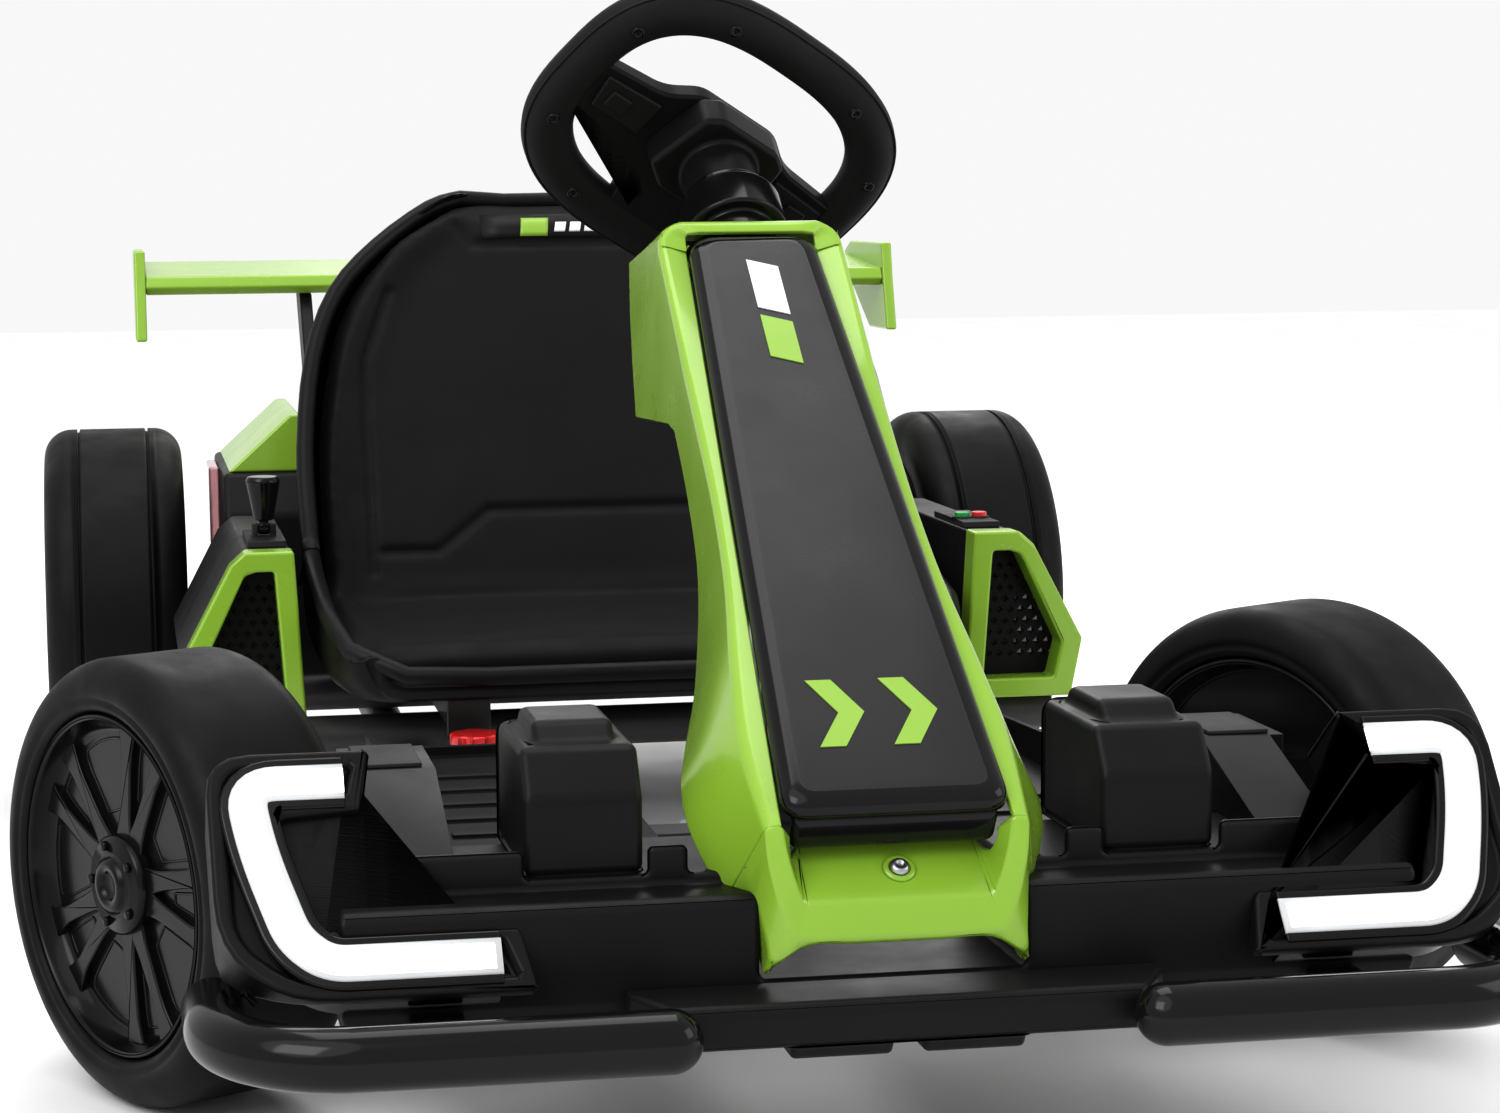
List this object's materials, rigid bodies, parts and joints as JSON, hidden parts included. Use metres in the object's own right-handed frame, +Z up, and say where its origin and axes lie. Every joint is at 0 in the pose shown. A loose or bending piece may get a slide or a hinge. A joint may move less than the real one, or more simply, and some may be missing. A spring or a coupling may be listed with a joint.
{
  "type": "ride-on kart",
  "caption": "Low ride-on kart with a bucket seat, sloping nose, steered front wheels, lit C-shaped headlights, side pods and a rear wing.",
  "frame": {"origin": "middle of the bounding box on the ground", "axes": "front of the kart faces -Y, +X is the driver's left, +Z up"},
  "size_m": [0.7922, 1.41, 0.57],
  "materials": {
    "tyre": "moulded, smooth tread",
    "rim_black": "gloss black",
    "black_plastic": "satin, lightly grained",
    "dark_plastic": "satin, textured",
    "gloss_black": "gloss",
    "green_plastic": "gloss, moulded through",
    "lens": "translucent white, lit",
    "tail_lens": "translucent",
    "frame_steel": "satin black paint",
    "bright_steel": "zinc plated",
    "seat_soft": "matt, fine grain",
    "red_plastic": "gloss",
    "button_green": "gloss",
    "battery_case": "moulded"
  },
  "bodies": {
    "chassis": {"frame_rail_left": "frame_steel", "frame_rail_right": "frame_steel", "frame_cross_tubes": "bright_steel", "front_axle_beam": "frame_steel", "bumper_deck": "black_plastic", "splitter": "black_plastic", "bumper_bar_left": "black_plastic", "bumper_bar_right": "black_plastic", "headlight_housing_left": "black_plastic", "headlight_housing_right": "black_plastic", "headlight_lens_left": "lens", "headlight_lens_right": "lens", "toe_box_left": "black_plastic", "toe_box_right": "black_plastic", "foot_tray_left": "black_plastic", "foot_tray_right": "black_plastic", "step_pads": "dark_plastic", "nose_frame": "green_plastic", "nose_panel": "gloss_black", "nose_base": "black_plastic", "column_collar": "gloss_black", "seat_mount": "frame_steel", "pod_frame_left": "green_plastic", "pod_frame_right": "green_plastic", "pod_body_left": "black_plastic", "pod_body_right": "black_plastic", "lever_panel": "dark_plastic", "button_panel": "dark_plastic", "rear_body": "black_plastic", "rear_fender_left": "green_plastic", "rear_fender_right": "green_plastic", "tail_lamps": "tail_lens", "wing_plane": "green_plastic", "wing_endplates": "green_plastic", "wing_struts": "black_plastic", "rear_axle": "bright_steel", "gear_motors": "dark_plastic", "battery": "battery_case"},
    "seat": {"seat_shell": "black_plastic", "seat_pad": "seat_soft"},
    "steering": {"steering_column": "bright_steel", "steering_wheel": "black_plastic", "steering_hub_pad": "black_plastic"},
    "lower_shaft": {"steering_lower_shaft": "bright_steel"},
    "knuckle_left": {"knuckle_left": "frame_steel"},
    "knuckle_right": {"knuckle_right": "frame_steel"},
    "tie_rod": {"tie_rod": "bright_steel"},
    "front_wheel_left": {"front_tyre_left": "tyre", "front_rim_left": "rim_black"},
    "front_wheel_right": {"front_tyre_right": "tyre", "front_rim_right": "rim_black"},
    "rear_wheel_left": {"rear_tyre_left": "tyre", "rear_rim_left": "rim_black"},
    "rear_wheel_right": {"rear_tyre_right": "tyre", "rear_rim_right": "rim_black"},
    "lever": {"drift_lever": "black_plastic"},
    "green_button": {"green_button": "button_green"},
    "red_button": {"red_button": "red_plastic"},
    "pedal": {"accelerator_pedal": "dark_plastic"},
    "knob": {"seat_knob": "red_plastic"}
  },
  "joints": [
    {"name": "column_turn", "type": "hinge", "parent": "chassis", "child": "steering", "pos_m": [0, -0.362, 0.389], "axis": [0, 0.788, 0.6157], "range_deg": [-76.25, 3.75]},
    {"name": "lower_shaft_turn", "type": "hinge", "parent": "chassis", "child": "lower_shaft", "pos_m": [0, -0.362, 0.389], "axis": [0, 0, 1], "range_deg": [-61, 3]},
    {"name": "knuckle_left_turn", "type": "hinge", "parent": "chassis", "child": "knuckle_left", "pos_m": [0.271, -0.362, 0.115], "axis": [0, 0, 1], "range_deg": [-61, 3]},
    {"name": "knuckle_right_turn", "type": "hinge", "parent": "chassis", "child": "knuckle_right", "pos_m": [-0.271, -0.362, 0.115], "axis": [0, 0, 1], "range_deg": [-61, 3]},
    {"name": "tie_rod_pivot", "type": "hinge", "parent": "knuckle_left", "child": "tie_rod", "pos_m": [0.24434, -0.3139, 0.11], "axis": [0, 0, 1], "range_deg": [-3, 61]},
    {"name": "front_wheel_left_spin", "type": "hinge", "parent": "knuckle_left", "child": "front_wheel_left", "pos_m": [0.31036, -0.34018, 0.115], "axis": [0.8746, 0.4848, 0], "continuous": true},
    {"name": "front_wheel_right_spin", "type": "hinge", "parent": "knuckle_right", "child": "front_wheel_right", "pos_m": [-0.31036, -0.38382, 0.115], "axis": [0.8746, 0.4848, 0], "continuous": true},
    {"name": "rear_wheel_left_spin", "type": "hinge", "parent": "chassis", "child": "rear_wheel_left", "pos_m": [0.338, 0.447, 0.1415], "axis": [1, 0, 0], "continuous": true},
    {"name": "rear_wheel_right_spin", "type": "hinge", "parent": "chassis", "child": "rear_wheel_right", "pos_m": [-0.338, 0.447, 0.1415], "axis": [1, 0, 0], "continuous": true},
    {"name": "drift_lever_tilt", "type": "hinge", "parent": "chassis", "child": "lever", "pos_m": [-0.2405, 0.078, 0.242], "axis": [1, 0, 0], "range_deg": [-15, 15]},
    {"name": "green_button_press", "type": "slide", "parent": "chassis", "child": "green_button", "axis": [0, 0, -1], "range_m": [0, 0.002], "stiffness_N_per_m": 300},
    {"name": "red_button_press", "type": "slide", "parent": "chassis", "child": "red_button", "axis": [0, 0, -1], "range_m": [0, 0.002], "stiffness_N_per_m": 300},
    {"name": "accelerator_press", "type": "hinge", "parent": "chassis", "child": "pedal", "pos_m": [-0.134, -0.508, 0.137], "axis": [1, 0, 0], "range_deg": [0, 16], "stiffness_Nm_per_rad": 0.8, "springref_deg": -5.73},
    {"name": "seat_knob_turn", "type": "hinge", "parent": "chassis", "child": "knob", "pos_m": [-0.118, -0.065, 0.118], "axis": [0, 0, 1], "range_deg": [0, 180]},
    {"name": "seat_slide", "type": "slide", "parent": "chassis", "child": "seat", "axis": [0, 1, 0], "range_m": [-0.03, 0.03]}
  ],
  "couplings": [
    {"joint": "lower_shaft_turn", "follows": "column_turn", "ratio": 0.8},
    {"joint": "knuckle_left_turn", "follows": "column_turn", "ratio": 0.8},
    {"joint": "knuckle_right_turn", "follows": "column_turn", "ratio": 0.8},
    {"joint": "tie_rod_pivot", "follows": "column_turn", "ratio": -0.8}
  ]
}
